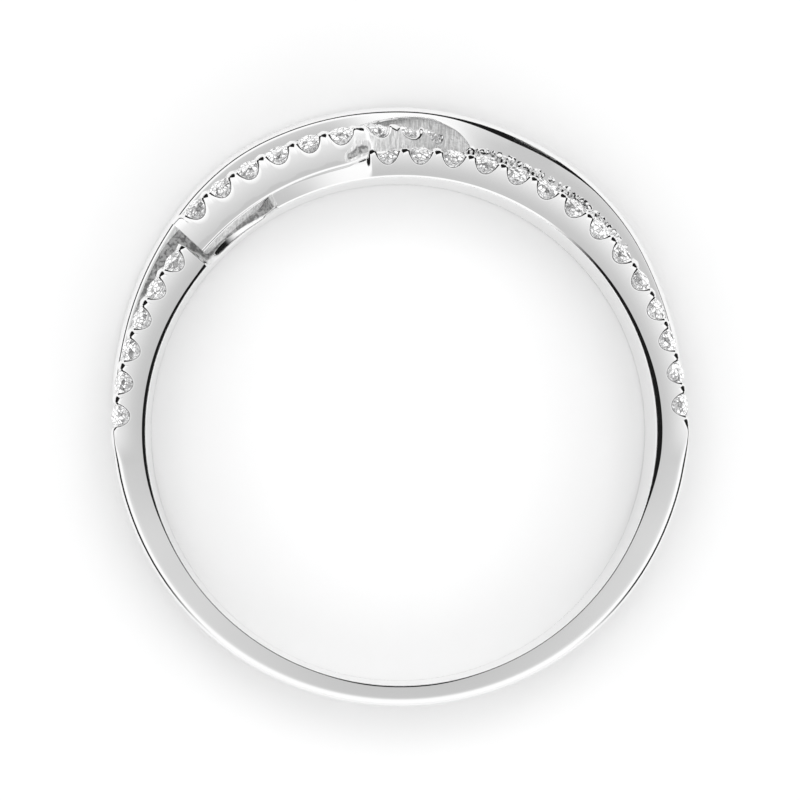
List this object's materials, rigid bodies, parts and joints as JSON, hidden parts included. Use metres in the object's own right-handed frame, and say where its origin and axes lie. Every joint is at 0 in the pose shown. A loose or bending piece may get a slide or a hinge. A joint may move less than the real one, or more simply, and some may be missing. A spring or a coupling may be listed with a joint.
{
  "type": "crossover ring",
  "caption": "Crossover ring of white gold: pave strands set with small round brilliants, and a polished strand that crosses over them at the crown.",
  "frame": {"origin": "centre of the finger hole, half way across the ring", "axes": "+Z along the finger hole, towards the side where the crossing strand lies in front; +Y towards the crown; the ring lies on its -Z side"},
  "size_m": [0.0195, 0.0203, 0.0044],
  "materials": {
    "white_gold": "polished, rough where the strands hide it",
    "diamond": "faceted and polished"
  },
  "bodies": {
    "root": {"band": "white_gold", "front_stone_01": "diamond", "front_stone_02": "diamond", "front_stone_03": "diamond", "front_stone_04": "diamond", "front_stone_05": "diamond", "front_stone_06": "diamond", "front_stone_07": "diamond", "front_stone_08": "diamond", "front_stone_09": "diamond", "front_stone_10": "diamond", "front_stone_11": "diamond", "front_stone_12": "diamond", "front_stone_13": "diamond", "front_stone_14": "diamond", "front_stone_15": "diamond", "front_stone_16": "diamond", "front_stone_17": "diamond", "front_stone_18": "diamond", "front_stone_19": "diamond", "front_stone_20": "diamond", "crossing_stone_01": "diamond", "crossing_stone_02": "diamond", "crossing_stone_03": "diamond", "crossing_stone_04": "diamond", "crossing_stone_05": "diamond", "crossing_stone_06": "diamond", "crossing_stone_07": "diamond", "crossing_stone_08": "diamond", "crossing_stone_09": "diamond", "crossing_stone_10": "diamond", "crossing_stone_11": "diamond", "crossing_stone_12": "diamond", "crossing_stone_13": "diamond", "crossing_stone_14": "diamond", "crossing_stone_15": "diamond", "crossing_stone_16": "diamond", "crossing_stone_17": "diamond"}
  },
  "joints": []
}
